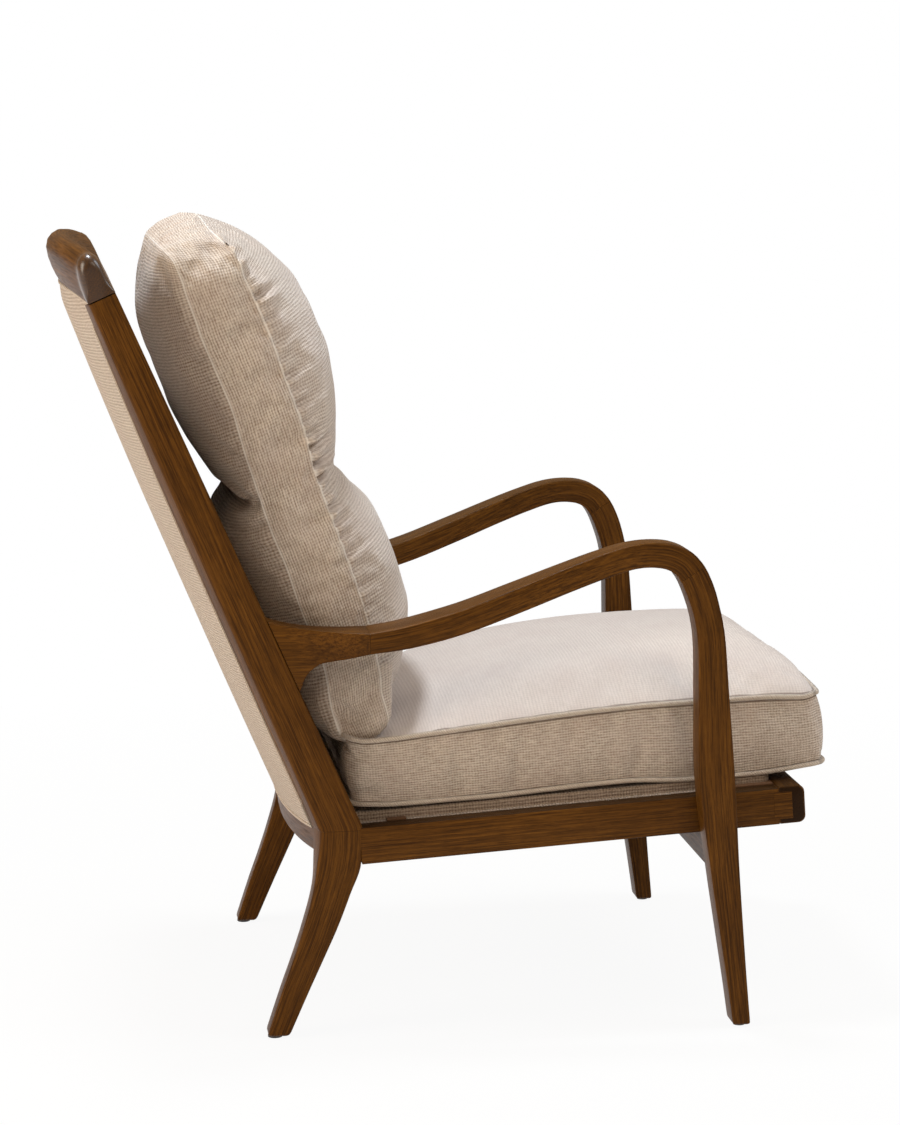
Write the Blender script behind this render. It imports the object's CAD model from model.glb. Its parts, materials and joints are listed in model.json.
"""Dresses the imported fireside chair: finer wood, sewn and stuffed cushions, materials, light and camera.

Everything is in metres in the row frame: +Z up, the sitter faces -Y, +X is the sitter's left.
"""

import json
import math

import bmesh
import bpy
import numpy as np
from mathutils import Matrix, Vector

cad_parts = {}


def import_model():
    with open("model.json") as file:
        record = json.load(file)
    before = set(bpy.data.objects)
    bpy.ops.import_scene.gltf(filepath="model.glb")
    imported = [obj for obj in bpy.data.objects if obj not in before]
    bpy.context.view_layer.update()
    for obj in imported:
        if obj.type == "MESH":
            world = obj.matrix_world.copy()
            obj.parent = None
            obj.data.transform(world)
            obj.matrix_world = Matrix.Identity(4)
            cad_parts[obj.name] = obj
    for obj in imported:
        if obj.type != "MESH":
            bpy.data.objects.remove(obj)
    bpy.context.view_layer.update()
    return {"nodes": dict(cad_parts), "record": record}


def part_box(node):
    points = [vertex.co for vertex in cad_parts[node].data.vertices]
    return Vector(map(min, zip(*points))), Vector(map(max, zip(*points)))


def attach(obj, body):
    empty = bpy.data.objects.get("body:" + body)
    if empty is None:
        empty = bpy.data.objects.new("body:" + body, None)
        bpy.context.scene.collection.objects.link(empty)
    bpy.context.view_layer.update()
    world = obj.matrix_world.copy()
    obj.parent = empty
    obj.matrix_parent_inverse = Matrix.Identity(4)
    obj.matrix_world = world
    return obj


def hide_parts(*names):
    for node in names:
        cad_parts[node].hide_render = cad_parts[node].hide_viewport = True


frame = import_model()

MM = 0.001
GAP = 0.3 * MM
HANDS = ((1, "left"), (-1, "right"))

# Frame of the chair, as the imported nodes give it
JOINT_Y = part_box("rear_leg_left")[0].y  # front faces of the rear legs
POST_INNER, RAIL_OUTER = [corner.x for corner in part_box("back_post_left")]
LEG_INNER, LEG_OUTER = [corner.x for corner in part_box("front_leg_left")]
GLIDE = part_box("front_leg_left")[0].z
RAIL_INNER, RAIL_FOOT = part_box("side_rail_left")[0].x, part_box("side_rail_left")[0].z

# The shape of the seat frame and the back
SEAT_SLOPE, BACK_LEAN = math.radians(3.44), math.radians(23.6)
RAIL_HEIGHT, FRONT_RAIL_DEPTH, SEAT_DEPTH = 48 * MM, 29 * MM, 561 * MM
KNEE = RAIL_FOOT + RAIL_HEIGHT + 1 * MM
POST_FOOT = KNEE - 6 * MM
BACK_LENGTH = 722.5 * MM
POST_DEPTH_FOOT, POST_DEPTH_TOP = 49.6 * MM, 34.5 * MM


def leaning(foot, angle):
    """For a frame that leans back from the joint: row coordinates of its points, and its axes."""
    c, s = math.cos(angle), math.sin(angle)

    def point(x, behind, up):
        return np.stack(np.broadcast_arrays(x, JOINT_Y + behind * c + up * s, foot - behind * s + up * c), -1)

    return point, np.array([[1, 0, 0], [0, c, -s], [0, s, c]])


seat_point, SEAT_AXES = leaning(RAIL_FOOT, SEAT_SLOPE)
back_point, BACK_AXES = leaning(KNEE, BACK_LEAN)

# Curves


def hermite(t, h, start, end, slope, last_slope):
    """A cubic from start to end with given slopes, at the share t of a step h."""
    rise = 3 * t**2 - 2 * t**3
    return (1 - rise) * start + rise * end + h * ((t**3 - 2 * t**2 + t) * slope + (t**3 - t**2) * last_slope)


def smooth_read(table, places, column=1):
    """Monotone cubic reading of a table, so that an outline has no corners."""
    rows = np.array(table, float)
    x, y = rows[:, 0], rows[:, column]
    slope = np.diff(y) / np.diff(x)
    tangent = np.zeros(len(x))
    same = slope[:-1] * slope[1:] > 0
    tangent[1:-1][same] = 2 / (1 / slope[:-1][same] + 1 / slope[1:][same])
    tangent[0], tangent[-1] = slope[0], slope[-1]
    places = np.clip(places, x[0], x[-1])
    i = np.clip(np.searchsorted(x, places) - 1, 0, len(x) - 2)
    h = x[i + 1] - x[i]
    return hermite((places - x[i]) / h, h, y[i], y[i + 1], tangent[i], tangent[i + 1])


def fade(value, low, high):
    """0 below low, 1 above high, and smooth between."""
    t = np.clip((value - low) / (high - low), 0, 1)
    return t * t * (3 - 2 * t)


def bell(value, width):
    """1 at 0, and smooth down to 0 on both sides."""
    return np.exp(-((value / width) ** 2))


def unit(vectors):
    return vectors / np.linalg.norm(vectors, axis=-1, keepdims=True)


def run_along(points):
    """Length of a line of points up to each of them."""
    return np.concatenate([[0], np.cumsum(np.linalg.norm(np.diff(points, axis=0), axis=1))])


def spline(points, steps):
    """Even samples, by length, of a smooth curve through points."""
    knots = np.concatenate([[0], np.cumsum(np.linalg.norm(np.diff(points, axis=0), axis=1) ** 0.5)])
    tangent = np.gradient(points, knots, axis=0)
    dense = []
    for i in range(len(points) - 1):
        t = np.linspace(0, 1, 40, endpoint=i == len(points) - 2)[:, None]
        ends = points[i], points[i + 1], tangent[i], tangent[i + 1]
        dense.append(hermite(t, knots[i + 1] - knots[i], *ends))
    dense = np.concatenate(dense)
    length = run_along(dense)
    at = np.linspace(0, length[-1], steps)
    return np.stack([np.interp(at, length, column) for column in dense.T], -1)


# Meshes


def fetch(items, name, size, kind=float):
    """One property of all items of a mesh, with a row for each."""
    values = np.zeros(len(items) * size, kind)
    items.foreach_get(name, values)
    return values.reshape(-1, size) if size > 1 else values


def store(piece, name, values, domain="POINT"):
    """Stores a number or a vector for each vertex or face corner, under a name that a material reads."""
    values = np.ascontiguousarray(values, np.float32)
    kind, key = ("FLOAT", "value") if values.ndim == 1 else ("FLOAT_VECTOR", "vector")
    layers = piece.data.attributes
    layer = layers.get(name) or layers.new(name, kind, domain)
    layer.data.foreach_set(key, values.ravel())


def link(name, data):
    piece = bpy.data.objects.new(name, data)
    bpy.context.scene.collection.objects.link(piece)
    return piece


def new_mesh(name, verts, faces):
    """A mesh with all its faces looking out."""
    mesh = bpy.data.meshes.new(name)
    mesh.from_pydata([tuple(v) for v in verts], [], faces)
    bm = bmesh.new()
    bm.from_mesh(mesh)
    bmesh.ops.recalc_face_normals(bm, faces=bm.faces)
    bm.to_mesh(mesh)
    bm.free()
    return mesh


def new_object(name, verts, faces, material, body, node, sharp=None):
    """A smooth piece that rides on a body and stands for a CAD node.

    Edges that turn by more degrees than sharp stay sharp.
    """
    mesh = new_mesh(name, verts, faces)
    mesh.materials.append(material)
    mesh.shade_smooth()
    if sharp:
        mesh.set_sharp_from_angle(angle=math.radians(sharp))
    piece = link(name, mesh)
    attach(piece, body)
    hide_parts(node)
    return piece


def loft(rings, loop=False):
    """Faces of a body through rings of points: (n, m, 3). Ends are closed unless it is a loop."""
    n, m = rings.shape[:2]
    faces = []
    for i in range(n if loop else n - 1):
        a, b = i * m, (i + 1) % n * m
        faces += [(a + j, a + (j + 1) % m, b + (j + 1) % m, b + j) for j in range(m)]
    if not loop:
        faces += [tuple(range(m)), tuple((n - 1) * m + j for j in reversed(range(m)))]
    return faces


def lofted(name, rings, material, body, node, sharp=None, loop=False):
    """A piece through rings of points."""
    return new_object(name, rings.reshape(-1, 3), loft(rings, loop), material, body, node, sharp)


def section(half_width, half_depth, radii, steps=4):
    """Plane outline (across, along) with its own radius at each corner, counted from (+, +)."""
    points = []
    for corner, ((sx, sy), r) in enumerate(zip([(1, 1), (-1, 1), (-1, -1), (1, -1)], radii)):
        angles = (corner + np.linspace(0, 1, steps + 1)) * math.pi / 2
        across, along = sx * (half_width - r) + r * np.cos(angles), sy * (half_depth - r) + r * np.sin(angles)
        points.append(np.stack([across, along], -1))
    return np.concatenate(points)


# Materials


class Nodes:
    """Short hand for building the node tree of a material or of the world."""

    def __init__(self, owner, shader="Principled BSDF"):
        owner.use_nodes = True
        self.owner, self.tree = owner, owner.node_tree
        self.shader = self.tree.nodes[shader]

    def join(self, socket, value):
        """Sets a socket, or links it."""
        if isinstance(value, bpy.types.NodeSocket):
            self.tree.links.new(value, socket)
        else:
            socket.default_value = value

    def put(self, inputs):
        """Sets or links the shader's own inputs."""
        for key, value in inputs.items():
            self.join(self.shader.inputs[key], value)

    def add(self, kind, inputs=(), **settings):
        node = self.tree.nodes.new("ShaderNode" + kind)
        for key, value in settings.items():
            setattr(node, key, value)
        for key, value in dict(inputs).items():
            self.join(node.inputs[key], value)
        return node

    def attribute(self, name, output="Fac"):
        return self.add("Attribute", attribute_name=name).outputs[output]

    def math(self, operation, a, b=0.0, clamp=False):
        return self.add("Math", {0: a, 1: b}, operation=operation, use_clamp=clamp).outputs[0]

    def plus(self, a, b, clamp=False):
        return self.math("ADD", a, b, clamp)

    def times(self, a, b):
        return self.math("MULTIPLY", a, b)

    def remap(self, value, low, high, to_low=0.0, to_high=1.0):
        inputs = {"Value": value, "From Min": low, "From Max": high, "To Min": to_low, "To Max": to_high}
        return self.add("MapRange", inputs).outputs[0]

    def wave(self, angle):
        return self.remap(self.math("SINE", angle), -1.0, 1.0)

    def mix(self, factor, a, b):
        return self.add("Mix", {0: factor, 6: a, 7: b}, data_type="RGBA").outputs[2]

    def noise(self, vector, scale, detail, roughness=0.55):
        """Noise with one scale, or with a scale for each axis."""
        if isinstance(scale, tuple):
            vector = self.add("VectorMath", {0: vector, 1: scale}, operation="MULTIPLY").outputs[0]
            scale = 1.0
        inputs = {"Vector": vector, "Scale": scale, "Detail": detail, "Roughness": roughness}
        return self.add("TexNoise", inputs).outputs["Fac"]

    def bump(self, height, distance, strength):
        node = self.add("Bump", {"Height": height, "Distance": distance, "Strength": strength})
        self.put({"Normal": node.outputs[0]})

    def show_white(self, white, rays, output, share=1.0):
        """Shows the camera and some other rays a share of white light in place of the shader."""
        path = self.add("LightPath").outputs
        seen = path["Is Camera Ray"]
        for ray in rays:
            seen = self.math("MAXIMUM", seen, path[ray])
        shaders = {0: self.times(seen, share), 1: self.shader.outputs[0], 2: white.outputs[0]}
        self.join(self.tree.nodes[output].inputs["Surface"], self.add("MixShader", shaders).outputs[0])


def material(name):
    return Nodes(bpy.data.materials.new(name))


def rgb(r, g, b):
    """Linear colour from the display values of a colour, 0 to 255."""
    linear = [((v / 255 + 0.055) / 1.055) ** 2.4 if v > 10 else v / 255 / 12.92 for v in (r, g, b)]
    return (*linear, 1.0)


def walnut_stain():
    """Ring-porous wood under a satin walnut stain. Its grain runs along the piece."""
    n = material("walnut_stain")
    grain = n.attribute("grain", "Vector")
    wander = n.noise(grain, (4.0, 26.0, 26.0), 2.0, 0.5)
    parts = n.add("SeparateXYZ", {0: grain}).outputs
    across = n.plus(n.times(parts[1], 1300.0), n.times(parts[2], 980.0))
    ring = n.wave(n.plus(n.times(wander, 16.0), across))
    streak = n.noise(grain, (10.0, 620.0, 540.0), 3.0, 0.7)
    line = n.noise(grain, (30.0, 1400.0, 1200.0), 2.0, 0.6)
    pores = n.noise(grain, (70.0, 2600.0, 2400.0), 2.0, 0.7)
    tone = n.noise(grain, (5.0, 40.0, 40.0), 3.0, 0.6)
    pore = n.remap(pores, 0.52, 0.68, 0.0, 0.5)
    colour = n.mix(n.remap(tone, 0.3, 0.7), rgb(97, 60, 17), rgb(125, 80, 28))
    for share, darker in (
        (n.times(ring, 0.3), rgb(62, 34, 8)),
        (n.remap(streak, 0.42, 0.66, 0.0, 0.82), rgb(52, 28, 6)),
        (n.remap(line, 0.5, 0.7, 0.0, 0.6), rgb(40, 20, 4)),
        (pore, rgb(26, 13, 3)),
        (n.attribute("stain"), rgb(28, 16, 7)),
    ):
        colour = n.mix(share, colour, darker)
    n.put({
        "Base Color": colour,
        "Roughness": n.remap(line, 0.45, 0.7, 0.36, 0.5),
        "Coat Weight": n.remap(n.attribute("gloss"), 0.0, 1.0, 0.04, 1.0),
        "Coat Roughness": 0.3,
        "Specular IOR Level": 0.06,
    })
    n.bump(n.times(n.plus(pore, line), -1.0), 0.2 * MM, 0.4)
    return n.owner


def woven(name, light, dark, rib=4.2 * MM, cross_depth=0.85, piped=False):
    """Ribbed tweed, with a pale line along its seams, or a shadow where a piped seam covers it.

    The attribute weave holds the distance along and across the ribs, and a third value: below 0 their
    cross lines are fainter, and above 0 the ribs are lost in the light.
    """
    n = material(name)
    weave, seam = n.attribute("weave", "Vector"), n.attribute("seam")
    parts = n.add("SeparateXYZ", {0: weave}).outputs
    bend = n.noise(weave, 60.0, 2.0, 0.5)
    along = n.plus(parts[0], n.times(bend, 2 * MM))
    across = n.plus(parts[1], n.times(bend, 2.2 * MM))
    turn, cross = 2 * math.pi, 3.7 * MM
    row = n.math("FLOOR", n.times(across, 1 / rib))
    jog = n.add("TexWhiteNoise", {"W": row}, noise_dimensions="1D").outputs["Value"]
    ribs = n.wave(n.times(across, turn / rib))
    knots = n.wave(n.plus(n.times(along, turn / cross), n.times(jog, 0.9)))
    slub = n.noise(weave, (130.0, 420.0, 1.0), 3.0, 0.65)
    mottle = n.noise(weave, 900.0, 2.0, 0.7)
    drift = n.noise(weave, 16.0, 3.0, 0.55)
    depth = n.remap(parts[2], -1.0, 0.0, cross_depth * 0.4, cross_depth)
    soft = n.remap(parts[2], 0.0, 1.0, 1.0, 0.3)
    valley = n.times(n.math("SUBTRACT", 1.0, ribs), 0.52)
    notch = n.times(n.math("SUBTRACT", 1.0, knots), n.times(depth, 0.4))
    shade = n.plus(n.plus(valley, notch), n.remap(mottle, 0.3, 0.75, -0.25, 0.3))
    shade = n.plus(shade, n.remap(slub, 0.3, 0.75, -0.32, 0.36), clamp=True)
    toned = n.mix(n.times(shade, soft), rgb(*light), rgb(*dark))
    toned = n.mix(n.remap(drift, 0.38, 0.66, 0.0, 0.22), toned, rgb(184, 158, 146))
    toned = n.mix(n.remap(parts[2], 0.0, 1.0, 0.0, 0.55), toned, rgb(206, 196, 194))
    if piped:
        ditch = n.times(n.remap(seam, 0.0, 1 * MM, 0.0, 0.6), n.remap(seam, 4.5 * MM, 6.2 * MM, 1.0, 0.0))
        toned = n.mix(ditch, toned, rgb(84, 64, 48))
    else:
        edge = n.times(n.remap(seam, 0.0, 2.2 * MM, 1.0, 0.0), n.remap(seam, 0.0, 0.01 * MM))
        toned = n.mix(n.times(edge, 0.85), toned, rgb(238, 230, 222))
    n.put({
        "Base Color": toned, "Roughness": 0.95, "Specular IOR Level": 0.15,
        "Sheen Weight": 0.4, "Sheen Roughness": 0.4,
    })
    height = n.plus(ribs, n.times(knots, depth))
    height = n.plus(n.plus(height, n.times(mottle, 0.7)), n.times(slub, 0.6))
    n.bump(n.times(height, soft), 0.6 * MM, 0.8)
    return n.owner


def webbing():
    """Dark woven strap."""
    n = material("webbing")
    place = n.add("TexCoord").outputs["Object"]
    weft = n.add("TexWave", {"Vector": place, "Scale": 260.0}, bands_direction="X").outputs["Fac"]
    n.put({"Base Color": n.mix(weft, rgb(36, 27, 21), rgb(56, 44, 35)), "Roughness": 0.9})
    n.bump(weft, 0.4 * MM, 0.6)
    return n.owner


def plain(name, noise, colours, roughness, bump=0.0, metallic=0.0):
    """A plain surface. Its noise (scale, detail, roughness) varies two colours, or the roughness of one."""
    n = material(name)
    speck = n.noise(n.add("TexCoord").outputs["Object"], *noise)
    tones = [rgb(*colour) for colour in colours]
    n.put({
        "Base Color": n.mix(speck, *tones) if len(tones) == 2 else tones[0],
        "Roughness": n.remap(speck, 0.3, 0.7, *roughness) if len(roughness) == 2 else roughness[0],
        "Metallic": metallic,
    })
    if bump:
        n.bump(speck, 0.2 * MM, bump)
    return n.owner


WALNUT = walnut_stain()
YARN = (223, 209, 195), (140, 118, 100)
TWEED, PIPED = woven("ribbed_tweed", *YARN), woven("piped_tweed", *YARN, piped=True)
PIPING = woven("piping_tweed", (220, 206, 190), (158, 136, 116), rib=3 * MM, cross_depth=0.2)
PLATFORM = woven("platform_tweed", (172, 153, 135), (98, 80, 64))
STRAP = webbing()
CAD_MATERIALS = {
    "webbing": STRAP,
    "hidden_wood": plain(
        "plain_beech", ((40.0, 220.0, 220.0), 3.0), [(88, 58, 34), (118, 82, 52)], [0.7], bump=0.3
    ),
    "dust_cloth": plain("lining", (900.0, 3.0, 0.7), [(22, 21, 21), (40, 38, 37)], [1.0], bump=0.4),
    "glide_nylon": plain("nylon", (1200.0, 2.0), [(44, 38, 34)], [0.45, 0.6]),
    "screw_steel": plain("screw_steel", (700.0, 2.0), [(170, 170, 172)], [0.3, 0.45], metallic=1.0),
}
for part in frame["record"]["subparts"]:
    if part["material_slot"] in CAD_MATERIALS:
        cad = frame["nodes"][part["node"]]
        cad.data.materials.clear()
        cad.data.materials.append(CAD_MATERIALS[part["material_slot"]])

# Wood

WOOD_TURN = 32  # degrees past which an edge of the wood stays sharp
FRONT_EDGE, REAR_EDGE = 2.5 * MM, 6 * MM
LIMB_EDGES = (REAR_EDGE, FRONT_EDGE, FRONT_EDGE, FRONT_EDGE)
FORWARD = 3 * MM  # the posts and rear legs stand this far forward of the joint plane
# The posts' rear faces carry on the bow of the panel: [share of the length, deeper inside by this]
POST_RAKE = [[0, 7.5 * MM], [0.3, 10 * MM], [0.6, 10.5 * MM], [0.8, 9 * MM], [1, 5.5 * MM]]


def frame_piece(name, rings, node, grain, look=WALNUT, sharp=WOOD_TURN):
    """A piece of the frame through rings of points, with the place of each point in its grain."""
    piece = lofted(name, rings, look, "frame", node, sharp)
    store(piece, "grain", grain.reshape(-1, 3))
    return piece


def limb(front, rear, inner, outer, radii, rake=0, toe=0):
    """Rings and grain of a limb, from its side view: front and rear outlines (n, 2), inner and outer X.

    rake is how much deeper it is at its inner rear edge, and toe rounds the rim of its last end.
    """
    inner, outer, rake = [np.broadcast_to(value, len(front)) for value in (inner, outer, rake)]
    middle, along = (front + rear) / 2, rear - front
    depth = np.linalg.norm(along, axis=1)
    along = unit(along)
    run = run_along(middle)
    rings, grain = [], []
    for k in range(len(front)):
        half = (outer[k] - inner[k]) / 2
        outline = section(half, depth[k] / 2, radii)
        outline[:, 1] += rake[k] * (outline[:, 1] > 0) * (half - outline[:, 0]) / (2 * half)
        x = (inner[k] + outer[k]) / 2 + outline[:, 0]
        rings.append(np.column_stack([x, middle[k] + outline[:, 1:] * along[k]]))
        grain.append(np.column_stack([np.full(len(outline), run[k]), outline]))
    if toe:
        last, end = rings.pop(), grain.pop()
        centre = last.mean(axis=0)
        ahead = unit(centre - rings[-1].mean(axis=0))
        for turn in (0, 0.35, 0.7, 1.05, 1.4):
            less = 1 - toe * (1 - math.cos(turn)) / (depth[-1] / 2)
            rings.append(centre + (last - centre) * less - ahead * toe * (1 - math.sin(turn)))
            grain.append(end)
    return np.array(rings), np.array(grain)


def both_sides(**limbs):
    """The pieces of one or more limbs on the left side, and of their mirror images on the right."""
    pieces = []
    for side, hand in HANDS:
        for name, (rings, grain) in limbs.items():
            grain = grain + [side * 3.0, side * 0.7, 0.0]
            piece = frame_piece(f"{name}_wood_{hand}", rings * [side, 1, 1], f"{name}_{hand}", grain)
            pieces.append((side, piece))
    return pieces


def cross_bar(name, node, xs, outlines, look=WALNUT, sharp=WOOD_TURN):
    """A bar that runs across the chair: one outline of row-frame (y, z) points at each X."""
    rings = np.array([np.column_stack([np.full(len(o), x), o]) for x, o in zip(xs, outlines)])
    grain = rings - rings.mean(axis=1, keepdims=True) * [0, 1, 1] + [7.3, 0.2, 0.4]
    return frame_piece(name, rings, node, grain, look, sharp)


def straight_bar(name, node, low, high, edge, axis=1, sloping=True):
    """A bar with rounded long edges between two corners, along X (0) or Y (1), on the seat frame's slope."""
    low, high = np.array(low), np.array(high)
    middle, half = (low + high) / 2, (high - low) / 2
    flat = [k for k in range(3) if k != axis]
    outline = section(*half[flat], (edge,) * 4)
    rings = np.zeros((4, len(outline), 3))
    for ring, end, inset in zip(rings, (-1, -1, 1, 1), (edge, 0, 0, edge)):
        ring[:, axis] = middle[axis] + end * (half[axis] - (0 if inset else edge * 0.7))
        ring[:, flat] = middle[flat] + outline * (1 - inset / min(half[flat]))
    placed = seat_point(*np.moveaxis(rings, 2, 0)) if sloping else rings
    return frame_piece(name, placed, node, rings[:, :, [axis] + flat] + [low[0] * 9, 0.3, 0.1])


def vertices(piece):
    return fetch(piece.data.vertices, "co", 3)


def post_depth(up):
    return POST_DEPTH_FOOT + (POST_DEPTH_TOP - POST_DEPTH_FOOT) * np.asarray(up) / BACK_LENGTH


def back_posts():
    """Each post stands on its leg with a level foot and ends square at the top rail."""
    lean = math.tan(BACK_LEAN)
    top, start = BACK_LENGTH - GAP, POST_DEPTH_FOOT * lean
    level = back_point(0, POST_DEPTH_FOOT, start)[1:]
    drop = KNEE - POST_FOOT - GAP
    shares = np.linspace(0, 1, 24)
    climb = start + (top - start) * shares[1:]
    foot = [[JOINT_Y, POST_FOOT + GAP], [JOINT_Y, KNEE]]
    front = np.vstack([foot, back_point(0, 0, shares[1:] * top)[:, 1:]])
    rear = np.vstack([[level - [drop * lean, drop], level], back_point(0, post_depth(climb), climb)[:, 1:]])
    rake = smooth_read(POST_RAKE, np.concatenate([[0], shares]))
    forward = np.array([FORWARD, 0])
    both_sides(back_post=limb(front - forward, rear - forward, POST_INNER, RAIL_OUTER, LIMB_EDGES, rake))


# Outlines of a rear leg: [height share, front share, rear share] of its height and setback
REAR_LEG_SETBACK = 121 * MM
REAR_LEG_SHARES = [
    [0, 0.773, 1], [0.229, 0.554, 0.835], [0.38, 0.405, 0.718], [0.534, 0.256, 0.61],
    [0.69, 0.127, 0.518], [0.84, 0.012, 0.462], [0.93, 0, 0.43], [1, 0, 0.421],
]


def rear_legs():
    share = np.linspace(1, 0, 40)
    z = GLIDE + (POST_FOOT - GLIDE) * share
    start = JOINT_Y - FORWARD
    setback = [REAR_LEG_SETBACK * smooth_read(REAR_LEG_SHARES, share, column) for column in (1, 2)]
    front, rear = [np.stack([start + behind, z], -1) for behind in setback]
    rake = POST_RAKE[0][1] * fade(share, 0.72, 1)
    both_sides(rear_leg=limb(front, rear, POST_INNER, RAIL_OUTER, LIMB_EDGES, rake, 5 * MM))


# Centre line and plan of an arm, from the bracket to the front leg:
# [share of its reach, share of its rise, share of its way out inside, the same outside]
ARM_SHARES = np.array([
    [0, 0, 0, 0], [0.102, 0.063, 0.05, 0.19], [0.268, 0.244, 0.235, 0.54], [0.435, 0.496, 0.42, 0.77],
    [0.577, 0.722, 0.65, 0.86], [0.682, 0.878, 0.8, 0.93], [0.763, 0.976, 0.91, 0.97], [0.822, 1, 0.98, 1],
    [0.879, 0.971, 1, 1], [0.918, 0.888, 1, 1], [0.945, 0.751, 1, 1],
])
# The front leg goes on: [share of the reach, share of the arm's height, share from foot to waist depth]
FRONT_LEG_SHARES = np.array([
    [0.945, 0.9576, 0.61], [0.966, 0.925, 0.59], [0.985, 0.882, 0.53], [0.999, 0.83, 0.55],
    [1.009, 0.697, 0.735], [1.02, 0.531, 1], [1.046, 0.332, 0.63], [1.067, 0.199, 0.35],
    [1.086, 0.083, 0.12], [1.0995, 0, 0],
])
ARM_HEIGHT, ARM_DROP, ARM_SETBACK = 602.5 * MM, 102.5 * MM, 13 * MM
ARM_REACH = SEAT_DEPTH - ARM_SETBACK - 127 * MM
ARM_THICKNESS = [[0, 26 * MM], [0.25, 29.5 * MM], [0.8, 30 * MM], [1, 35 * MM]]
ARM_INNER_REAR = POST_INNER - 5 * MM
ARM_OUTER_REAR = ARM_INNER_REAR + 63 * MM
LEG_WAIST, LEG_FOOT_DEPTH = 45 * MM, 22 * MM
ARM_EDGES = (2.2 * MM,) * 4


def arms_and_front_legs():
    """An arm and its front leg share one centre line, cut where the joint lies on it."""
    y = JOINT_Y - ARM_SETBACK - ARM_REACH * np.concatenate([ARM_SHARES[:, 0], FRONT_LEG_SHARES[1:, 0]])
    arm_z = ARM_HEIGHT - ARM_DROP * (1 - ARM_SHARES[:, 1])
    leg_z = GLIDE + (ARM_HEIGHT - GLIDE) * FRONT_LEG_SHARES[1:, 1]
    points = np.stack([y, np.concatenate([arm_z, leg_z])], -1)
    line = spline(points, 400)
    joint = np.argmin(np.linalg.norm(line - points[len(arm_z) - 1], axis=1))
    tangent = unit(np.gradient(line, axis=0))
    normal = np.stack([-tangent[:, 1], tangent[:, 0]], -1) / 2

    arm_share = np.linspace(0, 1, joint + 1)
    key = run_along(points[: len(arm_z)])
    plan = np.column_stack([key / key[-1], ARM_SHARES[:, 2:]])
    inner = LEG_INNER + (ARM_INNER_REAR - LEG_INNER) * (1 - smooth_read(plan, arm_share, 1))
    outer = LEG_OUTER + (ARM_OUTER_REAR - LEG_OUTER) * (1 - smooth_read(plan, arm_share, 2))
    thick = smooth_read(ARM_THICKNESS, arm_share)
    arm, arm_half = line[: joint + 1], normal[: joint + 1] * thick[:, None]
    arm_half[0] = [0, -thick[0] / 2]

    leg = line[joint:].copy()
    depth = smooth_read(FRONT_LEG_SHARES[::-1, 1:], (leg[:, 1] - GLIDE) / (ARM_HEIGHT - GLIDE))
    depth = LEG_FOOT_DEPTH + (LEG_WAIST - LEG_FOOT_DEPTH) * depth
    blend = np.clip(np.arange(len(leg)) / 20, 0, 1)
    depth = thick[-1] * (1 - blend) + depth * blend
    leg_half = normal[joint:] * depth[:, None]
    leg_half[-1], leg[-1, 1] = [depth[-1] / 2, 0], GLIDE
    leg[0] += unit(line[joint + 1] - line[joint]) * GAP
    leg_inner, leg_outer = np.full(len(leg), LEG_INNER), np.full(len(leg), LEG_OUTER)
    limbs = {}
    for name, middle, half, near, far, toe in (
        ("arm", arm, arm_half, inner, outer, 0),
        ("front_leg", leg, leg_half, leg_inner, leg_outer, 4 * MM),
    ):
        k = np.unique(np.round(np.linspace(0, len(middle) - 1, 70)).astype(int))
        limbs[name] = limb(middle[k] - half[k], middle[k] + half[k], near[k], far[k], ARM_EDGES, toe=toe)
    both_sides(**limbs)


# Bracket between arm and post:
# [share of the way to the post, share of the width lost outside, share of the foot's drop]
BRACKET_SHARES = [
    [0, 0, 0], [0.12, 0.2, 0.06], [0.3, 0.52, 0.15], [0.5, 0.78, 0.22],
    [0.68, 0.92, 0.29], [0.82, 0.98, 0.44], [0.92, 1, 0.65], [1, 1, 1],
]
BRACKET_RISE, BRACKET_DROP = 15 * MM, 48 * MM


def arm_brackets():
    way = np.linspace(0, 1, 40)
    start = JOINT_Y - ARM_SETBACK + GAP
    high = ARM_HEIGHT - ARM_DROP + ARM_THICKNESS[0][1] / 2
    low = high - ARM_THICKNESS[0][1]
    lost, dropped = [smooth_read(BRACKET_SHARES, way, column) for column in (1, 2)]
    edges = []
    for z in (low - BRACKET_DROP * dropped, high + BRACKET_RISE * way**3):
        on_post = JOINT_Y - FORWARD - 0.1 * MM + (z[-1] - KNEE) * math.tan(BACK_LEAN)
        edges.append(np.stack([start + (on_post - start) * way, z], -1))
    outer = ARM_OUTER_REAR + (RAIL_OUTER - ARM_OUTER_REAR) * lost
    inner = ARM_INNER_REAR + (POST_INNER - ARM_INNER_REAR) * way
    for side, piece in both_sides(arm_bracket=limb(*edges, inner, outer, ARM_EDGES)):
        co = vertices(piece)
        store(piece, "grain", co[:, [1, 0, 2]] + co[:, [2]] * [0, 0, 0.1] + [side * 3.0, 0, 0])
        store(piece, "stain", 0.35 * fade(-co[:, 1], -start - 20 * MM, -start))


# Outline of the top rail: shares of its thickness and height
CREST_OUTLINE_SHARES = np.array([
    [0, 0], [0.5, 0], [1, 0], [1.035, 0.15], [1.045, 0.35], [1.02, 0.58], [0.94, 0.79], [0.8, 0.92],
    [0.62, 0.985], [0.42, 1], [0.22, 0.945], [0.09, 0.84], [0.02, 0.68], [0, 0.45], [0, 0.2],
])
CREST_HEIGHT, CREST_THICKNESS = 56 * MM, 36 * MM
CREST_BOW, CREST_ARCH = 19 * MM, 24 * MM


def bow_share(x):
    return 1 - np.minimum(1, (np.asarray(x) / POST_INNER) ** 2)


def crest_foot(x):
    return BACK_LENGTH + CREST_ARCH * (1 - np.minimum(1, np.abs(np.asarray(x) / POST_INNER)) ** 2.6)


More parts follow.
